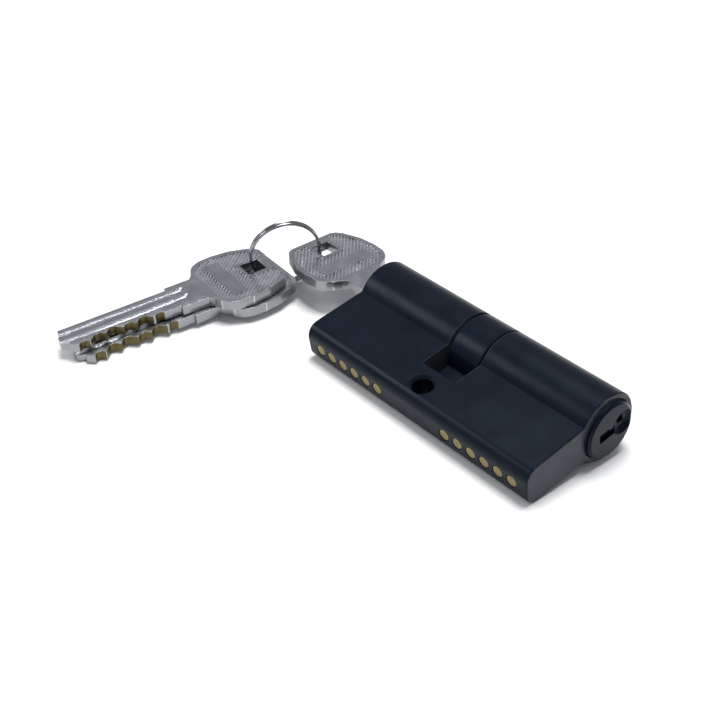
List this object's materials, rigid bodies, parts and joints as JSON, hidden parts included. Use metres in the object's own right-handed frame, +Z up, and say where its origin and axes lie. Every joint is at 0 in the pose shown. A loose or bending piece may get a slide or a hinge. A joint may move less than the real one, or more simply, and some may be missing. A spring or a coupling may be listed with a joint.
{
  "type": "euro profile lock cylinder",
  "caption": "Double euro profile lock cylinder, matt black, lying on its flank with a key in the far plug and loose keys on a split ring.",
  "frame": {"origin": "centre of the fixing screw hole, midway along the cylinder and through its thickness", "axes": "+X along the barrel towards the end with the empty keyway, +Z up from the surface the lock lies on, +Y towards the barrel side"},
  "size_m": [0.1169, 0.0818, 0.0196],
  "materials": {
    "housing_black": "matt blue-black coating",
    "cam_black": "blue-black, brushed round",
    "plug_black": "satin blue-black",
    "brass": "cut brass",
    "key_nickel": "nickel plated",
    "ring_steel": "nickel plated wire",
    "steel": "plain steel"
  },
  "bodies": {
    "housing": {"housing": "housing_black", "chamber_plugs_left": "brass", "chamber_plugs_right": "brass", "spring_left_1": "steel", "spring_left_2": "steel", "spring_left_3": "steel", "spring_left_4": "steel", "spring_left_5": "steel", "spring_left_6": "steel", "spring_right_1": "steel", "spring_right_2": "steel", "spring_right_3": "steel", "spring_right_4": "steel", "spring_right_5": "steel", "spring_right_6": "steel"},
    "cam": {"cam": "cam_black", "coupler": "steel"},
    "plug_right": {"plug_right": "plug_black", "circlip_right": "steel"},
    "plug_left": {"plug_left": "plug_black", "circlip_left": "steel", "key_inserted": "key_nickel", "key_pin_left_1": "brass", "key_pin_left_2": "brass", "key_pin_left_3": "brass", "key_pin_left_4": "brass", "key_pin_left_5": "brass", "key_pin_left_6": "brass"},
    "split_ring": {"split_ring": "ring_steel"},
    "key_loose_upper": {"key_loose_upper": "key_nickel"},
    "key_loose_lower": {"key_loose_lower": "key_nickel"},
    "key_pin_right_1": {"key_pin_right_1": "brass"},
    "key_pin_right_2": {"key_pin_right_2": "brass"},
    "key_pin_right_3": {"key_pin_right_3": "brass"},
    "key_pin_right_4": {"key_pin_right_4": "brass"},
    "key_pin_right_5": {"key_pin_right_5": "brass"},
    "key_pin_right_6": {"key_pin_right_6": "brass"},
    "driver_pin_right_1": {"driver_pin_right_1": "steel"},
    "driver_pin_right_2": {"driver_pin_right_2": "steel"},
    "driver_pin_right_3": {"driver_pin_right_3": "steel"},
    "driver_pin_right_4": {"driver_pin_right_4": "steel"},
    "driver_pin_right_5": {"driver_pin_right_5": "steel"},
    "driver_pin_right_6": {"driver_pin_right_6": "steel"},
    "driver_pin_left_1": {"driver_pin_left_1": "steel"},
    "driver_pin_left_2": {"driver_pin_left_2": "steel"},
    "driver_pin_left_3": {"driver_pin_left_3": "steel"},
    "driver_pin_left_4": {"driver_pin_left_4": "steel"},
    "driver_pin_left_5": {"driver_pin_left_5": "steel"},
    "driver_pin_left_6": {"driver_pin_left_6": "steel"}
  },
  "joints": [
    {"name": "plug_left_turn", "type": "hinge", "parent": "housing", "child": "plug_left", "pos_m": [0, 0.01963, 0.00329], "axis": [1, 0, 0], "continuous": true},
    {"name": "cam_turn", "type": "hinge", "parent": "housing", "child": "cam", "pos_m": [0, 0.01963, 0.00329], "axis": [1, 0, 0], "continuous": true},
    {"name": "plug_right_turn", "type": "hinge", "parent": "housing", "child": "plug_right", "pos_m": [0, 0.01963, 0.00329], "axis": [1, 0, 0], "continuous": true},
    {"name": "ring_swing", "type": "hinge", "parent": "plug_left", "child": "split_ring", "pos_m": [-0.061, 0.01948, 0.00329], "axis": [0, 0, 1], "range_deg": [-3, 3]},
    {"name": "key_lower_fan", "type": "hinge", "parent": "split_ring", "child": "key_loose_lower", "pos_m": [-0.068, 0.00583, -0.00171], "axis": [-0.0033, -0.0418, 0.9991], "range_deg": [-3, 3]},
    {"name": "key_upper_fan", "type": "hinge", "parent": "split_ring", "child": "key_loose_upper", "pos_m": [-0.0686, 0.00383, 0.00099], "axis": [-0.005, -0.0417, 0.9991], "range_deg": [-4, 3]},
    {"name": "key_pin_right_1_drop", "type": "slide", "parent": "plug_right", "child": "key_pin_right_1", "axis": [0, 0.9862, 0.1655], "range_m": [0, 0.001]},
    {"name": "key_pin_right_2_drop", "type": "slide", "parent": "plug_right", "child": "key_pin_right_2", "axis": [0, 0.9862, 0.1655], "range_m": [0, 0.001]},
    {"name": "key_pin_right_3_drop", "type": "slide", "parent": "plug_right", "child": "key_pin_right_3", "axis": [0, 0.9862, 0.1655], "range_m": [0, 0.001]},
    {"name": "key_pin_right_4_drop", "type": "slide", "parent": "plug_right", "child": "key_pin_right_4", "axis": [0, 0.9862, 0.1655], "range_m": [0, 0.001]},
    {"name": "key_pin_right_5_drop", "type": "slide", "parent": "plug_right", "child": "key_pin_right_5", "axis": [0, 0.9862, 0.1655], "range_m": [0, 0.001]},
    {"name": "key_pin_right_6_drop", "type": "slide", "parent": "plug_right", "child": "key_pin_right_6", "axis": [0, 0.9862, 0.1655], "range_m": [0, 0.001]},
    {"name": "driver_pin_right_1_press", "type": "slide", "parent": "housing", "child": "driver_pin_right_1", "axis": [0, -0.9862, -0.1655], "range_m": [0, 0.0012], "stiffness_N_per_m": 100, "deforming": ["spring_right_1"]},
    {"name": "driver_pin_right_2_press", "type": "slide", "parent": "housing", "child": "driver_pin_right_2", "axis": [0, -0.9862, -0.1655], "range_m": [0, 0.0012], "stiffness_N_per_m": 100, "deforming": ["spring_right_2"]},
    {"name": "driver_pin_right_3_press", "type": "slide", "parent": "housing", "child": "driver_pin_right_3", "axis": [0, -0.9862, -0.1655], "range_m": [0, 0.0012], "stiffness_N_per_m": 100, "deforming": ["spring_right_3"]},
    {"name": "driver_pin_right_4_press", "type": "slide", "parent": "housing", "child": "driver_pin_right_4", "axis": [0, -0.9862, -0.1655], "range_m": [0, 0.0012], "stiffness_N_per_m": 100, "deforming": ["spring_right_4"]},
    {"name": "driver_pin_right_5_press", "type": "slide", "parent": "housing", "child": "driver_pin_right_5", "axis": [0, -0.9862, -0.1655], "range_m": [0, 0.0012], "stiffness_N_per_m": 100, "deforming": ["spring_right_5"]},
    {"name": "driver_pin_right_6_press", "type": "slide", "parent": "housing", "child": "driver_pin_right_6", "axis": [0, -0.9862, -0.1655], "range_m": [0, 0.0012], "stiffness_N_per_m": 100, "deforming": ["spring_right_6"]},
    {"name": "driver_pin_left_1_press", "type": "slide", "parent": "housing", "child": "driver_pin_left_1", "axis": [0, -0.9862, -0.1655], "range_m": [0, 0.0012], "stiffness_N_per_m": 100, "deforming": ["spring_left_1"]},
    {"name": "driver_pin_left_2_press", "type": "slide", "parent": "housing", "child": "driver_pin_left_2", "axis": [0, -0.9862, -0.1655], "range_m": [0, 0.0012], "stiffness_N_per_m": 100, "deforming": ["spring_left_2"]},
    {"name": "driver_pin_left_3_press", "type": "slide", "parent": "housing", "child": "driver_pin_left_3", "axis": [0, -0.9862, -0.1655], "range_m": [0, 0.0012], "stiffness_N_per_m": 100, "deforming": ["spring_left_3"]},
    {"name": "driver_pin_left_4_press", "type": "slide", "parent": "housing", "child": "driver_pin_left_4", "axis": [0, -0.9862, -0.1655], "range_m": [0, 0.0012], "stiffness_N_per_m": 100, "deforming": ["spring_left_4"]},
    {"name": "driver_pin_left_5_press", "type": "slide", "parent": "housing", "child": "driver_pin_left_5", "axis": [0, -0.9862, -0.1655], "range_m": [0, 0.0012], "stiffness_N_per_m": 100, "deforming": ["spring_left_5"]},
    {"name": "driver_pin_left_6_press", "type": "slide", "parent": "housing", "child": "driver_pin_left_6", "axis": [0, -0.9862, -0.1655], "range_m": [0, 0.0012], "stiffness_N_per_m": 100, "deforming": ["spring_left_6"]}
  ],
  "couplings": [
    {"joint": "cam_turn", "follows": "plug_left_turn", "ratio": 1}
  ]
}
